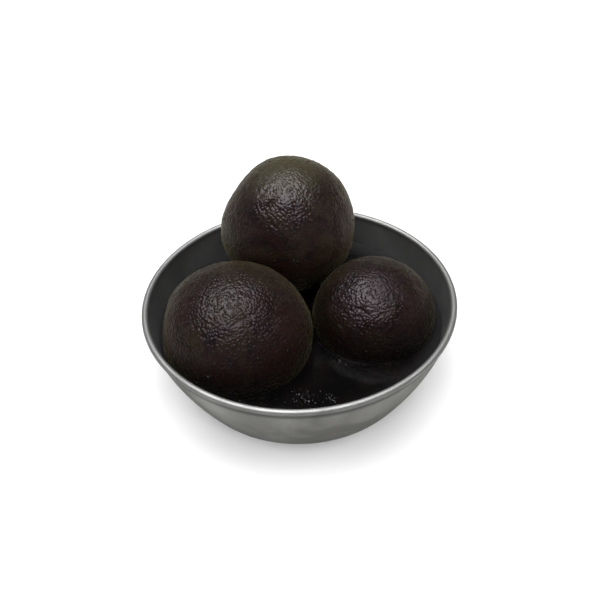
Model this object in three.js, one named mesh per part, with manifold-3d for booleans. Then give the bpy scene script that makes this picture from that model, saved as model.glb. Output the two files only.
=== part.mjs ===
// Gulab jamun served in syrup: three dark fried milk dumplings in a flared steel bowl.
//
// Units are millimetres and +Z is up. The origin is the centre of the bowl's flat base, so the bowl
// stands on the plane z = 0. +Y runs to the back of the serving, where the third dumpling leans on the
// rim, and +X runs to its right. All five pieces only rest in the bowl: nothing moves.
import * as THREE from "three";
import Module from "manifold-3d";
import { mergeVertices } from "three/addons/utils/BufferGeometryUtils.js";

// ---- Driving dimensions ----

const RIM_RADIUS = 48; // to the outer edge of the rolled rim
const BOWL_HEIGHT = 28; // from the table to the top of the rim
const BASE_RADIUS = 35.6; // where the wall's line would meet the table
const BASE_CORNER = 3; // how much of the base and of the wall the rounded corner takes
const WALL = 0.8; // sheet thickness
const BEAD_RADIUS = 1; // section of the rolled rim
const SHOULDER_RADIUS = 45.5; // control point of the wall's gentle outward curve
const SHOULDER_HEIGHT = 16.5;
const SYRUP_LEVEL = 18;
const GAP = 0.3; // clearance kept between pieces that touch

// ---- How finely round shapes are divided ----

const TURN_STEPS = 64; // round the bowl's axis
const WALL_STEPS = 6;
const CORNER_STEPS = 3;
const BEAD_STEPS = 6;
const DUMPLING_DETAIL = 7;

// ---- The dumplings ----

// Each dumpling is an ellipsoid with a few hand-rolled lobes. A lobe raises (or, below zero, lowers)
// the skin round a direction; its spread is the angle, in radians, at which it has faded to a third.
const DUMPLINGS = {
  jamun_left: {
    centre: new THREE.Vector3(-19.1, -10.5, 22.5),
    halfSize: new THREE.Vector3(23, 22.7, 22.2),
    lobes: [
      { towards: [-1, 0.05, 0.05], rise: -0.9, spread: 0.5 },
      { towards: [-0.8, 0.35, 0.5], rise: 0.6, spread: 0.4 },
      { towards: [0.4, -0.5, 0.75], rise: -0.4, spread: 0.6 },
      { towards: [-0.3, -0.7, 0.6], rise: 0.3, spread: 0.5 },
    ],
  },
  jamun_right: {
    centre: new THREE.Vector3(22.8, -1.8, 19.2),
    halfSize: new THREE.Vector3(19.2, 19.2, 18.8),
    lobes: [
      { towards: [0.4, 0.5, 0.75], rise: 0.1, spread: 0.4 },
      { towards: [0.7, 0.1, 0.3], rise: 0.2, spread: 0.4 },
      { towards: [0.5, -0.7, 0.5], rise: 0.4, spread: 0.6 },
      { towards: [-0.5, -0.5, 0.7], rise: -0.3, spread: 0.4 },
    ],
  },
  jamun_top: {
    centre: new THREE.Vector3(-2.1, 26.3, 35.7),
    halfSize: new THREE.Vector3(21.4, 21.2, 22.6),
    lobes: [
      { towards: [-0.75, 0.35, 0.55], rise: -1.2, spread: 0.5 },
      { towards: [-1, -0.1, -0.1], rise: 1, spread: 0.45 },
      { towards: [0.75, 0.2, 0.4], rise: 0.3, spread: 0.5 },
      { towards: [-0.1, 0.3, 0.95], rise: 0.2, spread: 0.5 },
      { towards: [-0.1, -0.8, 0.6], rise: 0.4, spread: 0.7 },
    ],
  },
};

const STEEL = new THREE.MeshStandardMaterial({
  color: 0x8a8a86,
  roughness: 0.35,
  metalness: 1,
});
const SYRUP = new THREE.MeshStandardMaterial({
  color: 0x1a0d08,
  roughness: 0.08,
  metalness: 0,
});
const FRIED_SKIN = new THREE.MeshStandardMaterial({
  color: 0x2c1712,
  roughness: 0.4,
  metalness: 0,
});

// ---- Manifold booleans ----

const manifold = await Module();
manifold.setup();

/** A closed geometry as a solid that can be joined and cut. */
function toSolid(geometry) {
  const bare = geometry.clone();
  bare.deleteAttribute("normal");
  bare.deleteAttribute("uv");
  const merged = mergeVertices(bare, 1e-4);
  const mesh = new manifold.Mesh({
    numProp: 3,
    vertProperties: merged.attributes.position.array,
    triVerts: new Uint32Array(merged.index.array),
  });
  return new manifold.Manifold(mesh);
}

/** A solid as a geometry that three.js can draw. */
function toGeometry(solid) {
  const mesh = solid.getMesh();
  const geometry = new THREE.BufferGeometry();
  geometry.setAttribute(
    "position",
    new THREE.BufferAttribute(mesh.vertProperties, 3),
  );
  geometry.setIndex(new THREE.BufferAttribute(mesh.triVerts, 1));
  geometry.computeVertexNormals();
  return geometry;
}

// ---- The bowl's section ----

// The outer face runs from the flat base, round the corner and up the wall to the underside of the
// rolled rim. In these 2-D curves x is the distance from the axis and y is the height.
const beadCentre = new THREE.Vector2(
  RIM_RADIUS - BEAD_RADIUS,
  BOWL_HEIGHT - BEAD_RADIUS,
);
const baseCorner = new THREE.Vector2(BASE_RADIUS, 0);
const shoulder = new THREE.Vector2(SHOULDER_RADIUS, SHOULDER_HEIGHT);
const wallTop = new THREE.Vector2(beadCentre.x, beadCentre.y - BEAD_RADIUS);
const flatEdge = new THREE.Vector2(BASE_RADIUS - BASE_CORNER, 0);
const wallFoot = shoulder
  .clone()
  .sub(baseCorner)
  .setLength(BASE_CORNER)
  .add(baseCorner);

const cornerCurve = new THREE.QuadraticBezierCurve(
  flatEdge,
  baseCorner,
  wallFoot,
);
const wallCurve = new THREE.QuadraticBezierCurve(wallFoot, shoulder, wallTop);

/** Points along the corner and the wall, moved inwards from the bowl's outer face by a distance. */
function sectionPoints(inset) {
  const points = [];
  for (const [curve, steps] of [
    [cornerCurve, CORNER_STEPS],
    [wallCurve, WALL_STEPS],
  ]) {
    const first = curve === wallCurve ? 1 : 0;
    for (let i = first; i <= steps; i++) {
      const point = curve.getPoint(i / steps);
      const along = curve.getTangent(i / steps);
      points.push(
        new THREE.Vector2(
          point.x - along.y * inset,
          point.y + along.x * inset,
        ),
      );
    }
  }
  return points;
}

/** The section's distance from the axis at a height, for a section moved inwards by a distance. */
function radiusAt(height, inset) {
  const points = sectionPoints(inset);
  const above = points.findIndex((point) => point.y > height);
  if (above < 0) return points[points.length - 1].x;
  if (above === 0) return points[0].x;
  const low = points[above - 1];
  const high = points[above];
  const share = (height - low.y) / (high.y - low.y);
  return THREE.MathUtils.lerp(low.x, high.x, share);
}

/** How far from the axis a piece can reach at a height and stay a gap away from the wall and the rim. */
function roomAt(height, gap) {
  const wall = height < wallTop.y ? radiusAt(height, WALL) - gap : Infinity;
  const clear = BEAD_RADIUS + gap;
  const beside = Math.abs(height - beadCentre.y);
  if (beside >= clear) return wall;
  return Math.min(wall, beadCentre.x - Math.sqrt(clear ** 2 - beside ** 2));
}

/** A closed section, which starts and ends on the axis, turned about +Z. */
function turned(section) {
  return new THREE.LatheGeometry(section, TURN_STEPS).rotateX(Math.PI / 2);
}

/** The flared bowl: one sheet of steel with a flat base and a rolled rim. */
function bowlGeometry() {
  const bead = new THREE.EllipseCurve(
    beadCentre.x,
    beadCentre.y,
    BEAD_RADIUS,
    BEAD_RADIUS,
    -Math.PI / 2, // it leaves the outer face under the bead
    Math.PI, // and comes round to the inner face
  );
  return turned([
    new THREE.Vector2(0, 0),
    ...sectionPoints(0).slice(0, -1),
    ...bead.getPoints(BEAD_STEPS),
    ...sectionPoints(WALL).reverse(),
    new THREE.Vector2(0, WALL),
  ]);
}

// ---- Dumplings ----

/** How far a dumpling's skin is from its centre in a unit direction, before anything presses on it. */
function reach(dumpling, direction) {
  const { x, y, z } = dumpling.halfSize;
  let distance = 1 / Math.hypot(direction.x / x, direction.y / y, direction.z / z);
  for (const lobe of dumpling.lobes) {
    const angle = direction.angleTo(new THREE.Vector3(...lobe.towards));
    distance += lobe.rise * Math.exp(-((angle / lobe.spread) ** 2));
  }
  return distance;
}

/** The plane between two dumplings that press on each other, facing from the first to the second. */
function contactPlane(first, second) {
  const between = second.centre.clone().sub(first.centre);
  const distance = between.length();
  const towards = between.normalize();
  const away = towards.clone().negate();
  const overlap = reach(first, towards) + reach(second, away) - distance;
  const point = first.centre
    .clone()
    .addScaledVector(towards, reach(first, towards) - overlap / 2);
  return new THREE.Plane().setFromNormalAndCoplanarPoint(towards, point);
}

/**
 * A dumpling as it sits: flattened where it meets the bowl's floor, wall or rim or another dumpling.
 * With grow, the whole skin is that much further out, which is the hollow it takes in the syrup.
 */
function dumplingGeometry(name, grow = 0) {
  const dumpling = DUMPLINGS[name];
  const planes = Object.keys(DUMPLINGS)
    .filter((other) => other !== name)
    .map((other) => contactPlane(dumpling, DUMPLINGS[other]));
  const geometry = new THREE.IcosahedronGeometry(1, DUMPLING_DETAIL);
  const position = geometry.attributes.position;
  const point = new THREE.Vector3();
  for (let i = 0; i < position.count; i++) {
    const direction = point.fromBufferAttribute(position, i).normalize().clone();
    point
      .copy(dumpling.centre)
      .addScaledVector(direction, reach(dumpling, direction) + grow);
    for (const plane of planes) {
      const past = plane.distanceToPoint(point) - (grow - GAP / 2);
      if (past > 0) point.addScaledVector(plane.normal, -past);
    }
    point.z = Math.max(point.z, WALL + GAP - grow);
    const room = roomAt(point.z, GAP - grow);
    const out = Math.hypot(point.x, point.y);
    if (out > room) {
      point.x *= room / out;
      point.y *= room / out;
    }
    position.setXYZ(i, point.x, point.y, point.z);
  }
  geometry.computeVertexNormals();
  return geometry;
}

// ---- Syrup ----

/** The syrup: the bowl's inside up to its level, less the hollows that the dumplings take. */
function syrupGeometry() {
  const inset = WALL + GAP;
  const wetted = sectionPoints(inset).filter((point) => point.y < SYRUP_LEVEL);
  const pool = turned([
    new THREE.Vector2(0, inset),
    ...wetted,
    new THREE.Vector2(radiusAt(SYRUP_LEVEL, inset), SYRUP_LEVEL),
    new THREE.Vector2(0, SYRUP_LEVEL),
  ]);
  let solid = toSolid(pool);
  for (const name of Object.keys(DUMPLINGS)) {
    solid = solid.subtract(toSolid(dumplingGeometry(name, GAP)));
  }
  return toGeometry(solid);
}

// ---- The serving ----

/** A named piece of the serving. */
function piece(name, geometry, material) {
  const mesh = new THREE.Mesh(geometry, material);
  mesh.name = name;
  return mesh;
}

const serving = new THREE.Group();
serving.add(piece("bowl", bowlGeometry(), STEEL));
serving.add(piece("syrup", syrupGeometry(), SYRUP));
for (const name of Object.keys(DUMPLINGS)) {
  serving.add(piece(name, dumplingGeometry(name), FRIED_SKIN));
}

export default serving;
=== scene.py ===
"""Gulab jamun: three dark fried dumplings in syrup, in a flared steel bowl.

Lengths are in metres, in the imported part's own frame: the origin is the centre of the bowl's base,
+Z is up and +Y is the back of the serving.
"""

import logging
import math
import random
from collections.abc import Iterable
from dataclasses import dataclass, field
from enum import Enum
from itertools import pairwise
from typing import ClassVar

import bpy
from mathutils import Matrix, Vector


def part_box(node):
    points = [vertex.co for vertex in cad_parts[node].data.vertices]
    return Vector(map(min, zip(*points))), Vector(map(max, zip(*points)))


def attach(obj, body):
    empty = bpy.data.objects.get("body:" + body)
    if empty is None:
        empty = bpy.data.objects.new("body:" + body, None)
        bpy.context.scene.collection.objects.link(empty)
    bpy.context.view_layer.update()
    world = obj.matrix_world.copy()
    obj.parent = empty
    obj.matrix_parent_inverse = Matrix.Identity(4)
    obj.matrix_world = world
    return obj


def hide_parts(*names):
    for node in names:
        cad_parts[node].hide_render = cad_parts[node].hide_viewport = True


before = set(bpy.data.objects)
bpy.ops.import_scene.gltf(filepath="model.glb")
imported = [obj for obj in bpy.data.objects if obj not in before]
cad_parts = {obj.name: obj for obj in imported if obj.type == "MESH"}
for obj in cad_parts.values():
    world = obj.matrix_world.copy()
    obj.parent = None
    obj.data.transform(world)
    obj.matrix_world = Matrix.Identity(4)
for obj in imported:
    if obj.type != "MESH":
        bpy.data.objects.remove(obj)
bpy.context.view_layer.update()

MM = 0.001
UP = Vector((0, 0, 1))
RAY_START = 0.1
WELD = 0.001 * MM
BODY = "root"

Piece = bpy.types.Object
Material = bpy.types.Material
Socket = bpy.types.NodeSocket
Colour = tuple[float, float, float, float]
Place = tuple[float, float, float]
Span = tuple[float, float]

logging.basicConfig(level=logging.INFO, format="%(name)s: %(message)s")
log = logging.getLogger("gulab_jamun")


class Slot(Enum):
    """The record's material slots."""

    STEEL = "steel"
    SYRUP = "syrup"
    SKIN = "fried_skin"


class Mark(Enum):
    """Attributes of the bowl that its steel reads: how much there is at each place, from 0 to 1."""

    # Painted shade on the inner wall, darker towards the syrup.
    SYRUP_STAIN = "syrup_stain"
    # Painted shade in the crease under the rim.
    GROOVE_DIRT = "groove_dirt"
    RUBBED_PATCH = "rubbed_patch"


# ---- Handling pieces ----


def ramp(value: float, none_at: float, full_at: float) -> float:
    """A share from 0, at one value, to 1, at another."""
    return min(max((value - none_at) / (full_at - none_at), 0.0), 1.0)


def deselect_all() -> None:
    """Leave nothing selected, so that the next operator acts on its own piece alone."""
    bpy.ops.object.select_all(action="DESELECT")


def make_active(piece: Piece) -> None:
    """Select one piece and nothing else.

    Args:
        piece: The object that the next operators act on.
    """
    deselect_all()
    piece.select_set(True)
    bpy.context.view_layer.objects.active = piece


def apply_modifier(piece: Piece, kind: str, **settings: object) -> None:
    """Give a piece a modifier and apply it at once.

    Args:
        piece: The object to change.
        kind: Blender's name for the kind of modifier.
        settings: The modifier's own settings.
    """
    make_active(piece)
    modifier = piece.modifiers.new(kind.title(), kind)
    for key, value in settings.items():
        setattr(modifier, key, value)
    bpy.ops.object.modifier_apply(modifier=modifier.name)


def settle_in_place(piece: Piece) -> None:
    """Move a piece's place, turn and scale into its mesh, so that its object is at the origin."""
    make_active(piece)
    bpy.ops.object.transform_apply(location=True, rotation=True, scale=True)


def hand_over(
    piece: Piece,
    material: Material,
    stands_for: Iterable[str] = (),
) -> None:
    """Dress a finished piece and fix it to the part.

    Args:
        piece: The finished object.
        material: Its only material.
        stands_for: The CAD nodes that it replaces.
    """
    piece.data.materials.clear()
    piece.data.materials.append(material)
    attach(piece, BODY)
    for node in stands_for:
        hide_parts(node)
    log.info("%s: %d faces", piece.name, len(piece.data.polygons))


def draw_up(name: str, rings: list[Vector], steps: int) -> Piece:
    """Draw a ring up and down a section, from axis to axis, into a closed round piece.

    Args:
        name: The piece's name.
        rings: The section's points, as (radius, height).
        steps: How many sides each ring has.

    Returns:
        The piece.
    """
    deselect_all()
    bpy.ops.mesh.primitive_circle_add(
        vertices=steps,
        radius=rings[0].x,
        fill_type="TRIFAN",
        location=(0, 0, rings[0].y),
    )
    piece = bpy.context.object
    piece.name = name
    settle_in_place(piece)
    bpy.ops.object.mode_set(mode="EDIT")
    bpy.ops.mesh.select_mode(type="EDGE")
    bpy.ops.mesh.select_all(action="DESELECT")
    bpy.ops.mesh.select_non_manifold(
        use_wire=False, use_boundary=True, use_multi_face=False, use_non_contiguous=False
    )
    for here, there in pairwise(rings):
        rise = (0, 0, there.y - here.y)
        scale = there.x / here.x
        bpy.ops.mesh.extrude_edges_move(TRANSFORM_OT_translate={"value": rise})
        bpy.ops.transform.resize(value=(scale, scale, 1), center_override=(0, 0, there.y))
    bpy.ops.mesh.extrude_edges_move()
    bpy.ops.mesh.merge(type="CENTER")
    bpy.ops.mesh.select_all(action="SELECT")
    bpy.ops.mesh.remove_doubles(threshold=WELD)
    bpy.ops.mesh.normals_make_consistent(inside=False)
    bpy.ops.object.mode_set(mode="OBJECT")
    return piece


# ---- Materials ----


class Finish:
    """A material under construction: its node tree and its surface shader."""

    def __init__(self, name: str) -> None:
        """Start a material with a bare Principled surface.

        Args:
            name: The material's name.
        """
        self.material = bpy.data.materials.new(name)
        self.material.use_nodes = True
        self.tree = self.material.node_tree
        self.surface = self.tree.nodes["Principled BSDF"]
        self.place = self.tree.nodes.new("ShaderNodeTexCoord").outputs["Object"]

    def put(self, node: bpy.types.Node, inputs: dict) -> bpy.types.Node:
        """Set a node's inputs, each from another node's socket or to a fixed value.

        Args:
            node: The node to set.
            inputs: Socket name or number to a socket or a value.

        Returns:
            The same node.
        """
        for key, value in inputs.items():
            if isinstance(value, Socket):
                self.tree.links.new(value, node.inputs[key])
            else:
                node.inputs[key].default_value = value
        return node

    def add(self, kind: str, inputs: dict, **settings: object) -> bpy.types.Node:
        """Add a node.

        Args:
            kind: The node's kind, without Blender's prefix.
            inputs: As for put.
            settings: The node's own settings.

        Returns:
            The new node.
        """
        node = self.tree.nodes.new("ShaderNode" + kind)
        for key, value in settings.items():
            setattr(node, key, value)
        return self.put(node, inputs)

    def noise(self, size: float, detail: float = 3.0, warp: float = 0.0) -> Socket:
        """Soft noise on the piece's own coordinates.

        Args:
            size: The size of its largest features, in metres.
            detail: How many finer layers it has.
            warp: How much it is distorted.

        Returns:
            The noise's value, from 0 to 1.
        """
        inputs = {"Vector": self.place, "Scale": 1 / size, "Detail": detail, "Distortion": warp}
        return self.add("TexNoise", inputs).outputs["Fac"]

    def height(self) -> Socket:
        """How high above the table each place is."""
        return self.add("SeparateXYZ", {0: self.place}).outputs[2]

    def radius(self) -> Socket:
        """Measure how far each place is from the bowl's axis.

        Returns:
            The distance.
        """
        parts = self.add("SeparateXYZ", {0: self.place})
        flat = self.add("CombineXYZ", {0: parts.outputs[0], 1: parts.outputs[1]})
        return self.add("VectorMath", {0: flat.outputs[0]}, operation="LENGTH").outputs["Value"]

    def mark(self, mark: Mark) -> Socket:
        """How much of a mark the piece carries at each place."""
        return self.add("Attribute", {}, attribute_name=mark.value).outputs["Fac"]

    def cells(self, size: float) -> Socket:
        """Rounded domes side by side, 1 on top of each and 0 in the valleys between them.

        Args:
            size: How far apart the domes are, in metres.

        Returns:
            The pattern's value, from 0 to 1.
        """
        node = self.add("TexVoronoi", {"Vector": self.place, "Scale": 1 / size})
        return self.remap(node.outputs["Distance"], (0.0, 0.85), (1.0, 0.0), soft=True)

    def remap(
        self,
        value: Socket,
        span: Span,
        result: Span,
        soft: bool = False,
    ) -> Socket:
        """Stretch a value's span to another, clamped at its ends.

        Args:
            value: The value to remap.
            span: The part of it that is used.
            result: What the span's ends become.
            soft: Whether it eases in and out at the ends.

        Returns:
            The remapped value.
        """
        inputs = {
            "Value": value,
            "From Min": span[0],
            "From Max": span[1],
            "To Min": result[0],
            "To Max": result[1],
        }
        easing = "SMOOTHSTEP" if soft else "LINEAR"
        return self.add("MapRange", inputs, interpolation_type=easing).outputs["Result"]

    def blend(self, share: Socket, first: object, second: object) -> Socket:
        """Mix two colours.

        Args:
            share: How much of the second shows.
            first: A colour or a colour socket.
            second: A colour or a colour socket.

        Returns:
            The mixed colour.
        """
        node = self.add("Mix", {"Factor": share}, data_type="RGBA")
        self.put(node, {6: first, 7: second})
        return node.outputs[2]

    def bump(self, height: Socket, depth: float, under: Socket | None = None) -> Socket:
        """Fine relief from a height pattern.

        Args:
            height: The pattern.
            depth: How far its 0 lies below its 1, in metres.
            under: A coarser relief that it lies on.

        Returns:
            The relief's normal.
        """
        inputs = {"Height": height, "Strength": 1.0, "Distance": depth}
        if under is not None:
            inputs["Normal"] = under
        return self.add("Bump", inputs).outputs["Normal"]


@dataclass(frozen=True)
class DullSteel:
    """Old pressed stainless steel: turned brushing, handling scratches and smudges, with painted shade
    that darkens the inner wall towards the syrup and the crease under the rim.
    """

    name: str = "dull_steel"
    bright: Colour = (0.70, 0.70, 0.69, 1)
    dull: Colour = (0.49, 0.49, 0.48, 1)
    scored: Colour = (0.86, 0.86, 0.85, 1)
    # The dark colour of the painted shade, on the inner wall and in the crease under the rim.
    painted_shade: Colour = (0.14, 0.15, 0.155, 1)
    inner_shade_share: float = 0.55
    # How dark the painted shade in the crease under the rim gets.
    groove_shade_share: float = 0.68
    rubbed_share: float = 0.9
    clean_roughness: float = 0.48
    smudged_roughness: float = 0.64
    smudge_size: float = 16 * MM
    line_spacing: float = 0.35 * MM
    line_depth: float = 0.004 * MM
    scuff_size: float = 0.9 * MM
    scratch_spacing: float = 13 * MM
    scratch_width: float = 0.011
    scratch_patch: float = 5 * MM
    scratch_share: float = 0.22

    def build(self) -> Material:
        """Make the material.

        Returns:
            The material, which reads the bowl's marks.
        """
        finish = Finish(self.name)
        smudge = finish.noise(self.smudge_size, detail=5, warp=0.6)
        tint = finish.remap(smudge, (0.35, 0.65), (0, 1))
        metal = finish.blend(tint, self.bright, self.dull)
        metal = finish.blend(self.scratches(finish), metal, self.scored)
        rubbed = finish.mark(Mark.RUBBED_PATCH)
        rubbed = finish.remap(rubbed, (0, 1), (0, self.rubbed_share), soft=True)
        metal = finish.blend(rubbed, metal, self.scored)
        # Painted shade: the inner wall darkens towards the syrup, and the crease under the rim darkens.
        inner_shade = finish.remap(finish.mark(Mark.SYRUP_STAIN), (0, 1), (0, self.inner_shade_share))
        groove_shade = finish.remap(finish.mark(Mark.GROOVE_DIRT), (0, 1), (0, self.groove_shade_share))
        metal = finish.blend(inner_shade, metal, self.painted_shade)
        scuffs = finish.bump(finish.noise(self.scuff_size, detail=4, warp=3), self.line_depth)
        roughness = (self.clean_roughness, self.smudged_roughness)
        finish.put(
            finish.surface,
            {
                "Base Color": finish.blend(groove_shade, metal, self.painted_shade),
                "Metallic": 1.0,
                "Roughness": finish.remap(smudge, (0.3, 0.7), roughness),
                "Normal": finish.bump(self.turned_lines(finish), self.line_depth, scuffs),
            },
        )
        return finish.material

    def turned_lines(self, finish: Finish) -> Socket:
        """Fine lines that run round the bowl's axis.

        Args:
            finish: The material under construction.

        Returns:
            The lines' height pattern.
        """
        along = finish.add("CombineXYZ", {0: finish.radius(), 2: finish.height()})
        inputs = {"Vector": along.outputs[0], "Scale": 1 / self.line_spacing, "Detail": 4.0}
        return finish.add("TexNoise", inputs).outputs["Fac"]

    def scratches(self, finish: Finish) -> Socket:
        """Thin straight scratches here and there.

        Args:
            finish: The material under construction.

        Returns:
            How much of the scored metal shows.
        """
        inputs = {"Vector": finish.place, "Scale": 1 / self.scratch_spacing}
        edges = finish.add("TexVoronoi", inputs, feature="DISTANCE_TO_EDGE").outputs["Distance"]
        lines = finish.remap(edges, (0.003, self.scratch_width), (self.scratch_share, 0))
        here = finish.remap(finish.noise(self.scratch_patch, detail=2), (0.48, 0.6), (0, 1))
        return finish.add("Math", {0: lines, 1: here}, operation="MULTIPLY").outputs[0]


@dataclass(frozen=True)
class FriedSkin:
    """A dark fried skin under a film of syrup: olive or ruddy in patches, blistered, soaked low down and
    darkened there with painted shade, and paler at the very top with painted light.
    """

    name: str
    wettest_at: Place
    char: Colour = (0.0024, 0.0013, 0.0013, 1)
    brown: Colour = (0.0080, 0.0030, 0.0022, 1)
    olive: Colour = (0.0100, 0.0068, 0.0024, 1)
    ruddy: Colour = (0.0100, 0.0028, 0.0020, 1)
    pore: Colour = (0.0150, 0.0046, 0.0036, 1)
    # Painted light: the paler colour of the very top, where light catches the highest dumpling.
    painted_top_light: Colour = (0.030, 0.026, 0.012, 1)
    gloss_tint: Colour = (1.0, 0.82, 1.0, 1)
    bloom_tint: Colour = (0.90, 0.83, 0.46, 1)
    bloom_weight: float = 0.06
    bloom_roughness: float = 0.35
    mottle_size: float = 6 * MM
    patch_size: float = 12 * MM
    olive_share: float = 0.85
    ruddy_share: float = 0.6
    pore_share: float = 0.7
    # How dark the skin turns low down: syrup soaking and painted shade.
    soak_and_shade_share: float = 0.85
    wet_patch_size: float = 7 * MM
    wet_roughness: float = 0.36
    dry_roughness: float = 0.6
    soaked_smoothing: float = 0.5
    speckle_size: float = 0.9 * MM
    blister_size: float = 0.82 * MM
    blister_height: float = 0.15 * MM
    grain_size: float = 0.4 * MM
    grain_depth: float = 0.05 * MM
    soaked_below: float = 19 * MM
    dry_above: float = 37 * MM
    painted_light_from: float = 52.5 * MM
    painted_light_full: float = 59 * MM
    film_weight: float = 0.6
    film_rest: float = 0.3
    film_reach: float = 14 * MM
    film_roughness: float = 0.19
    gloss: float = 0.36

    def build(self) -> Material:
        """Make the material.

        Returns:
            The material.
        """
        finish = Finish(self.name)
        grain = finish.noise(self.grain_size, detail=1, warp=0.4)
        blisters = finish.bump(finish.cells(self.blister_size), self.blister_height)
        relief = finish.bump(grain, self.grain_depth, blisters)
        finish.put(
            finish.surface,
            {
                "Base Color": self.colour(finish),
                "Roughness": self.roughness(finish),
                "Specular IOR Level": self.gloss,
                "Specular Tint": self.gloss_tint,
                "Normal": relief,
                "Coat Weight": self.film(finish),
                "Coat Roughness": self.film_roughness,
                "Coat Normal": relief,
                "Sheen Weight": self.bloom_weight,
                "Sheen Roughness": self.bloom_roughness,
                "Sheen Tint": self.bloom_tint,
            },
        )
        return finish.material

    def film(self, finish: Finish) -> Socket:
        """The syrup film's strength, which is greatest round one spot.

        Args:
            finish: The material under construction.

        Returns:
            The coat's weight.
        """
        spot = {0: finish.place, 1: self.wettest_at}
        away = finish.add("VectorMath", spot, operation="DISTANCE").outputs["Value"]
        weights = (self.film_weight, self.film_weight * self.film_rest)
        return finish.remap(away, (0, self.film_reach), weights, soft=True)

    def roughness(self, finish: Finish) -> Socket:
        """The skin's roughness: patchy, and smoother low down where syrup covers it.

        Args:
            finish: The material under construction.

        Returns:
            The roughness.
        """
        wetness = finish.noise(self.wet_patch_size, detail=3, warp=0.6)
        rough = finish.remap(wetness, (0.4, 0.62), (self.wet_roughness, self.dry_roughness))
        span = (self.dry_above, self.soaked_below)
        soaked = finish.remap(finish.height(), span, (1, self.soaked_smoothing), soft=True)
        return finish.add("Math", {0: rough, 1: soaked}, operation="MULTIPLY").outputs[0]

    def colour(self, finish: Finish) -> Socket:
        """The skin's colour: mottled, patched, redder in its pores, dark low down from soaking and
        painted shade, and paler on top with painted light.

        Args:
            finish: The material under construction.

        Returns:
            The colour.
        """
        mottle = finish.noise(self.mottle_size, detail=6, warp=0.8)
        patches = finish.noise(self.patch_size, detail=3, warp=0.5)
        speckle = finish.noise(self.speckle_size, detail=4)
        height = finish.height()
        soaking = (self.dry_above, self.soaked_below)
        brown = finish.remap(mottle, (0.38, 0.62), (0, 1))
        olive = finish.remap(patches, (0.48, 0.62), (0, self.olive_share))
        ruddy = finish.remap(patches, (0.48, 0.36), (0, self.ruddy_share))
        pores = finish.remap(speckle, (0.52, 0.68), (0, self.pore_share))
        # Darker low down: partly syrup soaking, partly painted shade where the dumplings sit deep in the
        # bowl.
        soaked = finish.remap(height, soaking, (0, self.soak_and_shade_share), soft=True)
        # Painted light: the very top is paler, as if catching the light.
        painted_light_share = finish.remap(height, (self.painted_light_from, self.painted_light_full), (0, 1), soft=True)
        tone = finish.blend(brown, self.char, self.brown)
        tone = finish.blend(olive, tone, self.olive)
        tone = finish.blend(ruddy, tone, self.ruddy)
        tone = finish.blend(pores, tone, self.pore)
        tone = finish.blend(soaked, tone, self.char)
        return finish.blend(painted_light_share, tone, self.painted_top_light)


@dataclass(frozen=True)
class DarkSyrup:
    """Thick syrup, nearly black in depth and lighter towards the bowl's wall, where it thins out and
    carries a painted reflection of the steel.
    """

    name: str = "dark_syrup"
    deep: Colour = (0.0022, 0.0020, 0.0022, 1)
    clouded: Colour = (0.005, 0.0032, 0.003, 1)
    # Partly thinning syrup, partly a painted reflection of the steel wall.
    thin_and_reflected: Colour = (0.021, 0.020, 0.021, 1)
    lighter_from: float = 36 * MM
    lighter_full: float = 44.5 * MM
    cloud_size: float = 9 * MM
    roughness: float = 0.14
    ripple_size: float = 3.5 * MM
    ripple_depth: float = 0.05 * MM
    gloss: float = 0.2

    def build(self) -> Material:
        """Make the material.

        Returns:
            The material.
        """
        finish = Finish(self.name)
        cloud = finish.noise(self.cloud_size, detail=3, warp=0.5)
        cloud = finish.remap(cloud, (0.4, 0.7), (0, 1))
        body = finish.blend(cloud, self.deep, self.clouded)
        # Lighter towards the wall: thinning syrup and a painted reflection of the steel.
        edge = finish.remap(finish.radius(), (self.lighter_from, self.lighter_full), (0, 1), soft=True)
        ripple = finish.noise(self.ripple_size, detail=3)
        finish.put(
            finish.surface,
            {
                "Base Color": finish.blend(edge, body, self.thin_and_reflected),
                "Roughness": self.roughness,
                "Specular IOR Level": self.gloss,
                "Normal": finish.bump(ripple, self.ripple_depth),
            },
        )
        return finish.material


# ---- The bowl ----


def bezier(start: Vector, bend: Vector, end: Vector, steps: int) -> list[tuple[Vector, Vector]]:
    """A quadratic curve in the plane of a section.

    Args:
        start: Its first point.
        bend: Its control point.
        end: Its last point.
        steps: How many stretches it is divided into.

    Returns:
        Each point with the direction that the curve has there.
    """
    found = []
    for i in range(steps + 1):
        t = i / steps
        point = (1 - t) ** 2 * start + 2 * t * (1 - t) * bend + t**2 * end
        along = ((1 - t) * (bend - start) + t * (end - bend)).normalized()
        found.append((point, along))
    return found


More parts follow.
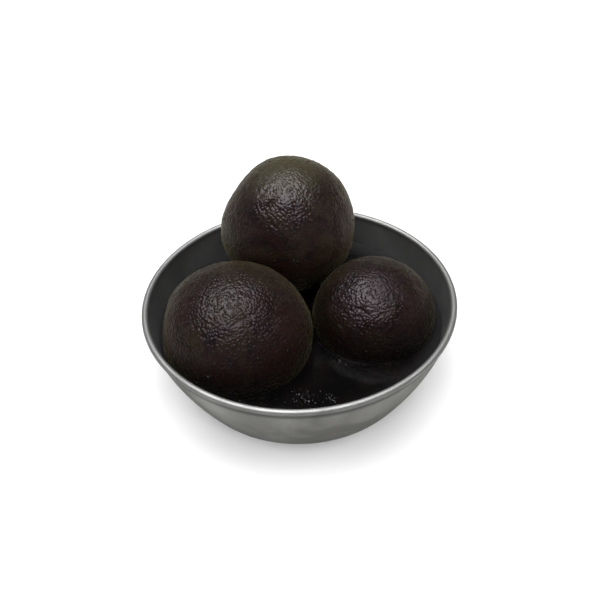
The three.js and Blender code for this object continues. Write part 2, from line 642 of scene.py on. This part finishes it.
@dataclass
class Bowl:
    """The flared bowl: one sheet of steel with a flat base, drawn up ring by ring, and a rolled rim."""

    node: str = "bowl"
    base_radius: float = 35.6 * MM
    base_corner: float = 3 * MM
    wall: float = 0.8 * MM
    bead_radius: float = 1 * MM
    shoulder_radius: float = 45.5 * MM
    shoulder_height: float = 16.5 * MM
    bead_start: float = math.radians(-112)
    bead_end: float = math.radians(176)
    groove_depth: float = 0.42 * MM
    groove_drop: float = 0.4 * MM
    groove_width: float = 1.0 * MM
    # Painted shade: the inner wall darkens from the first height down to the second, and a dark band is
    # painted round the crease under the rim.
    inner_shade_top: float = 26.5 * MM
    inner_shade_foot: float = 18 * MM
    groove_shade_middle: float = 25.4 * MM
    groove_shade_core: float = 0.8 * MM
    groove_shade_reach: float = 1.8 * MM
    rubbed_at: Place = (-25 * MM, -38.5 * MM, 21.5 * MM)
    rubbed_reach: float = 11 * MM
    turn_steps: int = 256
    corner_steps: int = 8
    wall_steps: int = 44
    bead_steps: int = 18
    flat_rings: tuple[float, ...] = (0.12, 0.4, 0.7, 0.94)
    sharp_from: float = math.radians(40)
    knock_size: float = 13 * MM
    knock_fade: float = 4 * MM
    unevenness: float = 0.10 * MM
    finish: DullSteel = field(default_factory=DullSteel)

    def __post_init__(self) -> None:
        """Take the rim's radius and height from the frame."""
        low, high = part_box(self.node)
        self.rim_radius = (high.x - low.x) / 2
        self.height = high.z
        self.bead = Vector((self.rim_radius - self.bead_radius, self.height - self.bead_radius))

    def face(self, inset: float) -> list[Vector]:
        """The section's corner and wall, moved inwards from the outer face.

        Args:
            inset: How far it is moved.

        Returns:
            Points from the flat base's edge up to the rim, as (radius, height).
        """
        corner = Vector((self.base_radius, 0))
        shoulder = Vector((self.shoulder_radius, self.shoulder_height))
        foot = corner + (shoulder - corner).normalized() * self.base_corner
        flat_edge = Vector((self.base_radius - self.base_corner, 0))
        under_bead = Vector((self.bead.x, self.bead.y - self.bead_radius))
        points = bezier(flat_edge, corner, foot, self.corner_steps)
        points += bezier(foot, shoulder, under_bead, self.wall_steps)[1:]
        return [p + Vector((-along.y, along.x)) * inset for p, along in points]

    def rolled_rim(self) -> list[Vector]:
        """The bead's section.

        Returns:
            Points from the crease under it round to the inner wall.
        """
        start, turn = self.bead_start, self.bead_end - self.bead_start
        angles = [start + turn * i / self.bead_steps for i in range(self.bead_steps + 1)]
        return [
            self.bead + Vector((math.cos(a), math.sin(a))) * self.bead_radius for a in angles
        ]

    def grooved(self, point: Vector) -> Vector:
        """Draw a point of the outer face in where the shallow groove runs under the rim.

        Args:
            point: The point, as (radius, height).

        Returns:
            The point's new place.
        """
        middle = self.bead.y - self.bead_radius - self.groove_drop
        share = math.exp(-(((point.y - middle) / self.groove_width) ** 2))
        return Vector((point.x - self.groove_depth * share, point.y))

    def section(self) -> list[Vector]:
        """The whole section.

        Returns:
            Points from the middle of the underside round to the middle of the floor.
        """
        outer = [self.grooved(point) for point in self.face(0)]
        inner = self.face(self.wall)[::-1]
        under = [Vector((outer[0].x * share, 0)) for share in self.flat_rings]
        floor = [Vector((p.x, self.wall)) for p in reversed(under)]
        return under + outer + self.rolled_rim() + inner + floor

    def build(self) -> Piece:
        """Model the bowl.

        Returns:
            The finished piece.
        """
        bowl = draw_up("steel_bowl", self.section(), self.turn_steps)
        self.knock(bowl)
        self.paint_shade_and_wear(bowl)
        make_active(bowl)
        bpy.ops.object.shade_smooth_by_angle(angle=self.sharp_from)
        hand_over(bowl, self.finish.build(), [self.node])
        return bowl

    def paint_shade_and_wear(self, bowl: Piece) -> None:
        """Paint shade on the inner wall, darker towards the syrup, and in the crease under the rim, and
        mark the rubbed patch on the outer wall.

        Args:
            bowl: The piece to mark.
        """
        shares = {mark: [0.0] * len(bowl.data.vertices) for mark in Mark}
        rubbed = Vector(self.rubbed_at)
        for vertex in bowl.data.vertices:
            place, normal = vertex.co, vertex.normal
            off_middle = abs(place.z - self.groove_shade_middle)
            off_patch = (place - rubbed).length
            if normal.x * place.x + normal.y * place.y > 0:
                # Painted shade in the crease under the rim and on the bead's underside.
                groove_shade = ramp(off_middle, self.groove_shade_reach, self.groove_shade_core)
                shares[Mark.GROOVE_DIRT][vertex.index] = groove_shade
                shares[Mark.RUBBED_PATCH][vertex.index] = ramp(off_patch, self.rubbed_reach, 0)
            else:
                # Painted shade, darker down the inner wall towards the syrup.
                inner_shade = ramp(place.z, self.inner_shade_top, self.inner_shade_foot)
                shares[Mark.SYRUP_STAIN][vertex.index] = inner_shade
        for mark, values in shares.items():
            layer = bowl.data.attributes.new(mark.value, "FLOAT", "POINT")
            layer.data.foreach_set("value", values)

    def knock(self, bowl: Piece) -> None:
        """Give the wall the slight unevenness of a bowl in daily use.

        Args:
            bowl: The piece to change.
        """
        dents = bpy.data.textures.new("dents", "CLOUDS")
        dents.noise_scale = self.knock_size
        dents.noise_depth = 1
        wall = bowl.vertex_groups.new(name="wall")
        low, high = self.base_corner, self.bead.y - 2 * self.bead_radius
        for vertex in bowl.data.vertices:
            height = vertex.co.z
            if low < height < high:
                from_end = min(height - low, high - height)
                wall.add([vertex.index], min(1.0, from_end / self.knock_fade), "REPLACE")
        apply_modifier(
            bowl,
            "DISPLACE",
            texture=dents,
            texture_coords="LOCAL",
            direction="Z",
            strength=self.unevenness,
            vertex_group="wall",
        )


# ---- The dumplings ----


class Pattern(Enum):
    """The noises that the skin's relief is made of."""

    SOFT = "CLOUDS"
    CELLS = "VORONOI"
    WRINKLED = "MUSGRAVE"


@dataclass(frozen=True)
class Relief:
    """One layer of a dumpling's relief."""

    pattern: Pattern
    size: float
    depth: float
    rest: float = 0.5

    def texture(self) -> bpy.types.Texture:
        """Make the noise that the layer follows.

        Returns:
            The noise.
        """
        made = bpy.data.textures.new(self.pattern.name.lower(), self.pattern.value)
        made.noise_scale = self.size
        if self.pattern is Pattern.SOFT:
            made.noise_depth = 2
        if self.pattern is Pattern.WRINKLED:
            made.musgrave_type = "RIDGED_MULTIFRACTAL"
            made.octaves = 3
            made.offset = 0.9
            made.gain = 1.6
            made.noise_intensity = 0.6
        if self.pattern is Pattern.CELLS:
            made.noise_intensity = 1.3
        return made

    def press(self, piece: Piece) -> None:
        """Press the layer into a piece.

        Args:
            piece: The piece to change.
        """
        apply_modifier(
            piece,
            "DISPLACE",
            texture=self.texture(),
            texture_coords="LOCAL",
            strength=self.depth,
            mid_level=self.rest,
        )


@dataclass(frozen=True)
class Dent:
    """A crease or a pit that is pressed into the skin at one place."""

    towards: Place
    length: float
    width: float
    depth: float
    turn: float = 0.0
    reach: float = 3 * MM

    def press(self, piece: Piece, centre: Vector) -> None:
        """Press the dent into a piece.

        Args:
            piece: The piece to change.
            centre: The middle of the piece.
        """
        out = Vector(self.towards).normalized()
        hit, spot, normal, _ = piece.ray_cast(centre + out * RAY_START, -out)
        if not hit:
            return
        turned = normal.to_track_quat("Z", "Y").to_matrix() @ Matrix.Rotation(self.turn, 3, "Z")
        deselect_all()
        bpy.ops.object.empty_add(location=spot, rotation=turned.to_euler())
        guide = bpy.context.object
        guide.scale = (self.length / 2, self.width / 2, self.reach)
        bpy.context.view_layer.update()
        fade = bpy.data.textures.new("dent", "BLEND")
        fade.progression = "SPHERICAL"
        apply_modifier(
            piece,
            "DISPLACE",
            texture=fade,
            texture_coords="OBJECT",
            texture_coords_object=guide,
            strength=-self.depth,
            mid_level=0,
        )
        bpy.data.objects.remove(guide)


SKIN_RELIEF = (
    Relief(Pattern.SOFT, 11 * MM, 0.50 * MM),
    Relief(Pattern.SOFT, 3.6 * MM, 0.30 * MM),
    Relief(Pattern.WRINKLED, 2.2 * MM, -0.06 * MM),
    Relief(Pattern.CELLS, 1.2 * MM, -0.09 * MM),
    Relief(Pattern.SOFT, 0.8 * MM, 0.05 * MM),
)


@dataclass
class Dumpling:
    """A fried milk dumpling: a ball shaped to its CAD node, with pits, wrinkles and creases."""

    name: str
    node: str
    skin: FriedSkin
    dents: tuple[Dent, ...] = ()
    relief: tuple[Relief, ...] = SKIN_RELIEF
    coarse_cuts: int = 31
    smoothing: int = 8
    fine_levels: int = 2

    def build(self) -> Piece:
        """Model the dumpling.

        Returns:
            The finished piece.
        """
        low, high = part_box(self.node)
        centre = (low + high) / 2
        ball = self.rough_ball(centre, (high - low) / 2)
        apply_modifier(
            ball,
            "SHRINKWRAP",
            target=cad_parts[self.node],
            wrap_method="NEAREST_SURFACEPOINT",
        )
        apply_modifier(ball, "SMOOTH", factor=0.5, iterations=self.smoothing)
        apply_modifier(ball, "SUBSURF", levels=self.fine_levels, render_levels=self.fine_levels)
        for layer in self.relief:
            layer.press(ball)
        for dent in self.dents:
            dent.press(ball, centre)
        make_active(ball)
        bpy.ops.object.shade_smooth()
        hand_over(ball, self.skin.build(), [self.node])
        return ball

    def rough_ball(self, centre: Vector, half: Vector) -> Piece:
        """A ball of even square faces, before it is fitted.

        Args:
            centre: Its middle.
            half: Its half size along each axis.

        Returns:
            The ball.
        """
        deselect_all()
        bpy.ops.mesh.primitive_cube_add(size=2)
        ball = bpy.context.object
        ball.name = self.name
        bpy.ops.object.mode_set(mode="EDIT")
        bpy.ops.mesh.select_all(action="SELECT")
        bpy.ops.mesh.subdivide(number_cuts=self.coarse_cuts)
        bpy.ops.object.mode_set(mode="OBJECT")
        apply_modifier(ball, "CAST", factor=1.0, size=1.0, use_radius_as_size=False)
        ball.scale = half
        ball.location = centre
        settle_in_place(ball)
        return ball


# ---- The syrup ----


@dataclass
class Syrup:
    """The syrup: a pool up to its level, which creeps up the wall and the dumplings it touches."""

    node: str = "syrup"
    finish: DarkSyrup = field(default_factory=DarkSyrup)
    turn_steps: int = 448
    ring_width: float = 0.42 * MM
    into_wall: float = 0.4 * MM
    creep: float = 0.12 * MM
    creep_reach: float = 0.9 * MM
    bottom_rings: tuple[float, ...] = (0.8, 0.4, 0.05)
    surface_depth: float = 0.1 * MM
    sharp_from: float = math.radians(50)

    def __post_init__(self) -> None:
        """Take the syrup's level and depth from the frame."""
        low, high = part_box(self.node)
        self.level = high.z
        self.bottom = low.z

    def build(self, bowl: Bowl, dumplings: list[Piece]) -> Piece:
        """Model the syrup.

        Args:
            bowl: The bowl that holds it.
            dumplings: The finished dumplings that stand in it.

        Returns:
            The finished piece.
        """
        pool = draw_up("syrup_pool", self.section(bowl), self.turn_steps)
        for dumpling in dumplings:
            self.creep_up(pool, dumpling)
        make_active(pool)
        bpy.ops.object.shade_smooth_by_angle(angle=self.sharp_from)
        hand_over(pool, self.finish.build(), [self.node])
        return pool

    def section(self, bowl: Bowl) -> list[Vector]:
        """The pool's section, from the middle of its surface to the middle of its bottom.

        Args:
            bowl: The bowl that holds it.

        Returns:
            Points as (radius, height).
        """
        wall = [p for p in bowl.face(bowl.wall - self.into_wall) if p.y > self.bottom]
        above = next(p for p in wall if p.y > self.level + self.creep)
        top = []
        radius = above.x
        while radius > self.ring_width:
            gap = above.x - radius - self.into_wall
            rise = self.creep * math.exp(-max(gap, 0) / (self.creep_reach / 3))
            top.append(Vector((radius, self.level + rise)))
            radius -= self.ring_width
        below = [p for p in reversed(wall) if p.y < self.level]
        middle = [Vector((below[-1].x * share, self.bottom)) for share in self.bottom_rings]
        return top[::-1] + below + middle

    def creep_up(self, pool: Piece, dumpling: Piece) -> None:
        """Raise the pool's surface where it meets a dumpling.

        Args:
            pool: The pool.
            dumpling: The dumpling that it wets.
        """
        near = pool.vertex_groups.new(name="near")
        lowest = self.level - self.surface_depth
        surface = [v.index for v in pool.data.vertices if v.co.z > lowest]
        near.add(surface, 1.0, "REPLACE")
        apply_modifier(
            pool,
            "VERTEX_WEIGHT_PROXIMITY",
            vertex_group="near",
            target=dumpling,
            proximity_mode="GEOMETRY",
            proximity_geometry={"FACE"},
            min_dist=0.0,
            max_dist=self.creep_reach,
            falloff_type="SHARP",
            invert_falloff=True,
        )
        apply_modifier(
            pool,
            "DISPLACE",
            direction="Z",
            strength=self.creep,
            mid_level=0.0,
            vertex_group="near",
        )
        pool.vertex_groups.remove(pool.vertex_groups["near"])


# ---- Bubbles and drops ----


@dataclass(frozen=True)
class Bead:
    """One bubble or drop: a low dome on a surface."""

    place: Vector
    normal: Vector
    radius: float
    stretch: float = 1.0
    turn: float = 0.0


@dataclass
class Beads:
    """Many small domes of syrup, modelled once and copied."""

    name: str
    finish: Material
    height: float = 0.75
    segments: int = 12
    rings: int = 8

    def build(self, beads: Iterable[Bead]) -> Piece:
        """Model the domes as one piece.

        Args:
            beads: Where the domes lie and how large they are.

        Returns:
            The finished piece.
        """
        pattern = self.dome()
        copies = [self.copy(pattern, bead) for bead in beads]
        bpy.data.objects.remove(pattern)
        deselect_all()
        for copy in copies:
            copy.select_set(True)
        bpy.context.view_layer.objects.active = copies[0]
        bpy.ops.object.join()
        piece = bpy.context.object
        piece.name = self.name
        settle_in_place(piece)
        bpy.ops.object.shade_smooth()
        hand_over(piece, self.finish)
        return piece

    def dome(self) -> Piece:
        """Model a low ball of radius 1, the upper half of which stands out of the surface.

        Returns:
            The ball, from which every copy is made.
        """
        deselect_all()
        bpy.ops.mesh.primitive_uv_sphere_add(
            segments=self.segments, ring_count=self.rings, radius=1
        )
        dome = bpy.context.object
        bpy.ops.object.mode_set(mode="EDIT")
        bpy.ops.mesh.select_all(action="SELECT")
        bpy.ops.transform.resize(value=(1, 1, self.height), center_override=(0, 0, 0))
        bpy.ops.object.mode_set(mode="OBJECT")
        return dome

    def copy(self, pattern: Piece, bead: Bead) -> Piece:
        """Copy the dome to its place.

        Args:
            pattern: The dome that is copied.
            bead: Where the copy lies and how large it is.

        Returns:
            The copy, with its own mesh.
        """
        made = bpy.data.objects.new(self.name, pattern.data.copy())
        bpy.context.scene.collection.objects.link(made)
        upright = bead.normal.to_track_quat("Z", "Y").to_matrix()
        turned = upright @ Matrix.Rotation(bead.turn, 3, "Z")
        size = Vector((bead.radius * bead.stretch, bead.radius, bead.radius))
        made.matrix_world = Matrix.LocRotScale(bead.place, turned.to_quaternion(), size)
        return made


@dataclass
class Froth:
    """The bubbles on the syrup: listed ones at the front and fine froth round them."""

    # In mm: the place to the right and to the back, and the radius.
    LARGE: ClassVar = (
        (1.4, -34.9, 0.9),
        (-1.3, -32.0, 0.7),
        (3.2, -35.6, 0.5),
        (-3.0, -33.6, 0.4),
        (11.0, -18.9, 0.5),
    )
    # In mm: a cluster's middle to the right and to the back, and its spread. Then its bubbles' number.
    CLUSTERS: ClassVar = (
        (0.6, -33.6, 3.0, 66),
        (7.2, -33.6, 1.6, 26),
        (11.4, -19.4, 0.8, 8),
        (-21.0, -33.0, 1.6, 10),
    )
    # In mm: the place to the right and to the back, and half the width of a long bubble. Then how many
    # times as long as wide it is, and the direction it runs in, in degrees.
    STREAKS: ClassVar = (
        (-0.8, -32.9, 0.30, 3.2, -60),
        (0.45, -34.4, 0.34, 2.8, -38),
        (1.9, -34.9, 0.30, 2.2, 8),
        (2.5, -33.9, 0.26, 3.4, 84),
        (6.4, -31.9, 0.22, 4.5, 96),
        (7.4, -31.6, 0.18, 5.0, 88),
        (8.3, -32.2, 0.18, 4.5, 80),
        (7.0, -33.6, 0.28, 2.8, -58),
        (8.2, -34.9, 0.28, 3.6, -34),
        (-2.6, -30.0, 0.16, 4.5, 84),
        (-1.0, -29.6, 0.15, 4.5, 92),
        (0.8, -30.2, 0.15, 4.0, 98),
        (11.3, -18.8, 0.34, 3.4, 96),
        (12.5, -20.0, 0.28, 5.6, -68),
    )
    level: float
    seed: int = 7
    smallest: float = 0.1
    growth: float = 0.3
    flattening: float = 0.6

    def beads(self) -> list[Bead]:
        """Place every bubble on the pool.

        Returns:
            The large bubbles, the fine ones and the long ones.
        """
        found = [self.bubble(*sizes) for sizes in self.LARGE]
        dice = random.Random(self.seed)
        for right, back, spread, count in self.CLUSTERS:
            for _ in range(count):
                x = dice.gauss(right, spread)
                y = dice.gauss(back, spread * self.flattening)
                radius = self.smallest + self.growth * dice.random() ** 2
                found.append(self.bubble(x, y, radius))
        return found + [self.bubble(*sizes) for sizes in self.STREAKS]

    def bubble(
        self, x: float, y: float, radius: float, stretch: float = 1.0, turn: float = 0.0
    ) -> Bead:
        """One bubble.

        Args:
            x: Its place to the right, in mm.
            y: Its place to the back, in mm.
            radius: Half its width, in mm.
            stretch: How many times as long as wide it is.
            turn: The direction it runs in, in degrees.

        Returns:
            The bubble.
        """
        place = Vector((x * MM, y * MM, self.level))
        return Bead(place, UP, radius * MM, stretch=stretch, turn=math.radians(turn))


@dataclass
class Drops:
    """Small drops of syrup that hang on the skin of the dumplings."""

    seed: int = 11
    count: int = 48
    smallest: float = 0.15 * MM
    largest: float = 0.45 * MM
    longest: float = 1.5
    lowest: float = -0.2

    def beads(self, dumpling: Piece) -> list[Bead]:
        """The drops on one dumpling.

        Args:
            dumpling: The dumpling that they hang on.

        Returns:
            Drops at random over its upper side.
        """
        corners = [Vector(corner) for corner in dumpling.bound_box]
        centre = sum(corners, Vector()) / len(corners)
        dice = random.Random(f"{self.seed} {dumpling.name}")
        found = []
        while len(found) < self.count:
            out = Vector((dice.gauss(0, 1), dice.gauss(0, 1), dice.gauss(0, 1))).normalized()
            radius = dice.uniform(self.smallest, self.largest)
            if out.z < self.lowest:
                continue
            hit, place, normal, _ = dumpling.ray_cast(centre + out * RAY_START, -out)
            if hit:
                stretch = dice.uniform(1, self.longest)
                found.append(Bead(place, normal, radius, stretch=stretch))
        return found


# ---- The studio ----


@dataclass
class Studio:
    """A pale floor, one large soft light overhead, soft fill from the sides and a dim room."""

    floor_size: float = 2.2
    floor_drop: float = 0.02 * MM
    table_size: float = 6.0
    table_drop: float = 0.04 * MM
    floor_colour: Colour = (0.9, 0.9, 0.9, 1)
    table_colour: Colour = (0.36, 0.355, 0.34, 1)
    lamp_height: float = 1.5
    lamp_size: Span = (1.5, 1.8)
    lamp_radiance: float = 3.7
    lamp_offset: Span = (-0.15, -0.1)
    backdrop: Colour = (1, 1, 1, 1)
    fill_count: int = 6
    fill_distance: float = 1.2
    fill_height: float = 0.45
    fill_width: float = 1.0
    fill_radiance: float = 3.2
    fill_lean: float = 0.2
    room: Colour = (0.040, 0.045, 0.046, 1)

    def build(self) -> None:
        """Set up the floor that is seen, the darker table that gloss mirrors, and the lights."""
        shown = self.lay_floor("floor", self.floor_size, self.floor_colour, -self.floor_drop)
        shown.visible_glossy = False
        shown.visible_shadow = False
        mirrored = self.lay_floor("table", self.table_size, self.table_colour, -self.table_drop)
        mirrored.visible_camera = False
        mirrored.visible_diffuse = False
        self.hang_lamp()
        for i in range(self.fill_count):
            self.stand_fill(math.tau * i / self.fill_count)
        self.close_room()
        bpy.context.scene.view_settings.view_transform = "Standard"

    def close_room(self) -> None:
        """Put a dim room round the bowl, with a pale wall behind the floor in the picture."""
        world = bpy.data.worlds.new("room")
        world.use_nodes = True
        tree = world.node_tree
        dim = tree.nodes["Background"]
        dim.inputs["Color"].default_value = self.room
        pale = tree.nodes.new("ShaderNodeBackground")
        pale.inputs["Color"].default_value = self.backdrop
        path = tree.nodes.new("ShaderNodeLightPath")
        choice = tree.nodes.new("ShaderNodeMixShader")
        tree.links.new(path.outputs["Is Camera Ray"], choice.inputs[0])
        tree.links.new(dim.outputs[0], choice.inputs[1])
        tree.links.new(pale.outputs[0], choice.inputs[2])
        tree.links.new(choice.outputs[0], tree.nodes["World Output"].inputs["Surface"])
        bpy.context.scene.world = world

    def lay_floor(self, name: str, size: float, colour: Colour, height: float) -> Piece:
        """Lay a plain round floor.

        Args:
            name: Its name.
            size: Its diameter.
            colour: Its colour.
            height: How high it lies.

        Returns:
            The floor.
        """
        deselect_all()
        bpy.ops.mesh.primitive_circle_add(
            vertices=128, radius=size / 2, fill_type="NGON", location=(0, 0, height)
        )
        floor = bpy.context.object
        floor.name = name
        finish = Finish(name)
        finish.put(finish.surface, {"Base Color": colour, "Roughness": 0.9})
        floor.data.materials.append(finish.material)
        return floor

    def hang_lamp(self) -> None:
        """Hang the large oval light over the bowl."""
        place = (*self.lamp_offset, self.lamp_height)
        self.add_light("overhead", place, self.lamp_size, self.lamp_radiance)

    def stand_fill(self, angle: float) -> None:
        """Stand a soft light beside the bowl, brighter to the right. It shows in no gloss.

        Args:
            angle: Where it stands round the bowl.
        """
        place = Vector((math.cos(angle), math.sin(angle), 0)) * self.fill_distance
        place.z = self.fill_height
        size = (self.fill_width, self.fill_width)
        radiance = self.fill_radiance * (1 + self.fill_lean * math.cos(angle))
        fill = self.add_light("fill", place, size, radiance)
        fill.rotation_euler = (-place).to_track_quat("-Z", "Y").to_euler()
        fill.visible_glossy = False

    def add_light(
        self, name: str, place: Iterable[float], size: Span, radiance: float
    ) -> Piece:
        """Add an oval light that points down.

        Args:
            name: Its name.
            place: Where it hangs.
            size: Its two diameters.
            radiance: How bright its face is.

        Returns:
            The light.
        """
        deselect_all()
        bpy.ops.object.light_add(type="AREA", location=tuple(place))
        light = bpy.context.object
        light.name = name
        light.data.shape = "ELLIPSE"
        light.data.size, light.data.size_y = size
        area = math.pi * size[0] * size[1] / 4
        light.data.energy = radiance * math.pi * area
        return light


@dataclass
class Viewpoint:
    """The camera, in front of the bowl and looking down on it."""

    elevation: float = math.radians(40.85)
    distance: float = 260 * MM
    turns_about: Place = (0, 0, 24 * MM)
    aim: Place = (0.34 * MM, 0, 26.05 * MM)
    roll: float = math.radians(-2.83)
    lens: float = 50.46

    def build(self) -> None:
        """Place the camera."""
        back = Vector((0, -math.cos(self.elevation), math.sin(self.elevation)))
        place = Vector(self.turns_about) + back * self.distance
        looking = (Vector(self.aim) - place).to_track_quat("-Z", "Y").to_matrix()
        turned = looking @ Matrix.Rotation(self.roll, 3, "Z")
        deselect_all()
        bpy.ops.object.camera_add(location=place, rotation=turned.to_euler())
        camera = bpy.context.object
        camera.data.lens = self.lens
        camera.data.clip_start = 0.01
        bpy.context.scene.camera = camera


def servings() -> list[Dumpling]:
    """The three dumplings with their own skins and dents.

    Returns:
        The left, the right and the top dumpling, before they are modelled.
    """
    return [
        Dumpling(
            "dumpling_left",
            "jamun_left",
            FriedSkin(
                "skin_left",
                wettest_at=(-19.6 * MM, -18 * MM, 43.5 * MM),
                film_weight=0.56,
                bloom_weight=0.07,
                gloss=0.29,
                blister_height=0.2 * MM,
            ),
            dents=(
                Dent((0.12, -0.60, 0.79), 9 * MM, 2.4 * MM, 0.40 * MM, 0.15),
                Dent((-0.12, -0.50, 0.86), 6 * MM, 2.0 * MM, 0.35 * MM, 1.3),
                Dent((0.20, -0.25, 0.95), 7 * MM, 2.2 * MM, 0.30 * MM, 2.4),
            ),
        ),
        Dumpling(
            "dumpling_right",
            "jamun_right",
            FriedSkin(
                "skin_right",
                wettest_at=(15.5 * MM, -9 * MM, 35 * MM),
                film_reach=12 * MM,
            ),
            dents=(
                Dent((0.0, -0.42, 0.91), 8 * MM, 5.0 * MM, 0.6 * MM, 1.4),
                Dent((-0.30, -0.62, 0.72), 6 * MM, 2.0 * MM, 0.35 * MM, 0.4),
            ),
        ),
        Dumpling(
            "dumpling_top",
            "jamun_top",
            FriedSkin(
                "skin_top",
                wettest_at=(-4.5 * MM, 18 * MM, 56 * MM),
                film_weight=0.62,
                film_rest=0.4,
                film_reach=20 * MM,
                bloom_weight=0.11,
            ),
            dents=(
                Dent((-0.23, -0.60, 0.76), 8 * MM, 2.2 * MM, 0.60 * MM, 1.0),
                Dent((0.12, -0.64, 0.76), 7 * MM, 2.0 * MM, 0.45 * MM, 1.8),
                Dent((-0.30, -0.42, 0.86), 6 * MM, 2.0 * MM, 0.40 * MM, 1.3),
                Dent((-0.02, -0.38, 0.92), 7 * MM, 3.4 * MM, 0.35 * MM, 1.5),
            ),
        ),
    ]


def main() -> None:
    """Build the serving and its studio."""
    Viewpoint().build()
    Studio().build()
    dumplings = [dumpling.build() for dumpling in servings()]
    bowl = Bowl()
    bowl.build()
    syrup = Syrup()
    syrup.build(bowl, dumplings)
    wet = DarkSyrup(name="wet_syrup", roughness=0.07, gloss=0.5).build()
    Beads("syrup_bubbles", wet).build(Froth(syrup.level).beads())
    drops = [bead for dumpling in dumplings for bead in Drops().beads(dumpling)]
    Beads("syrup_drops", wet, height=0.5).build(drops)


if __name__ == "__main__":
    main()
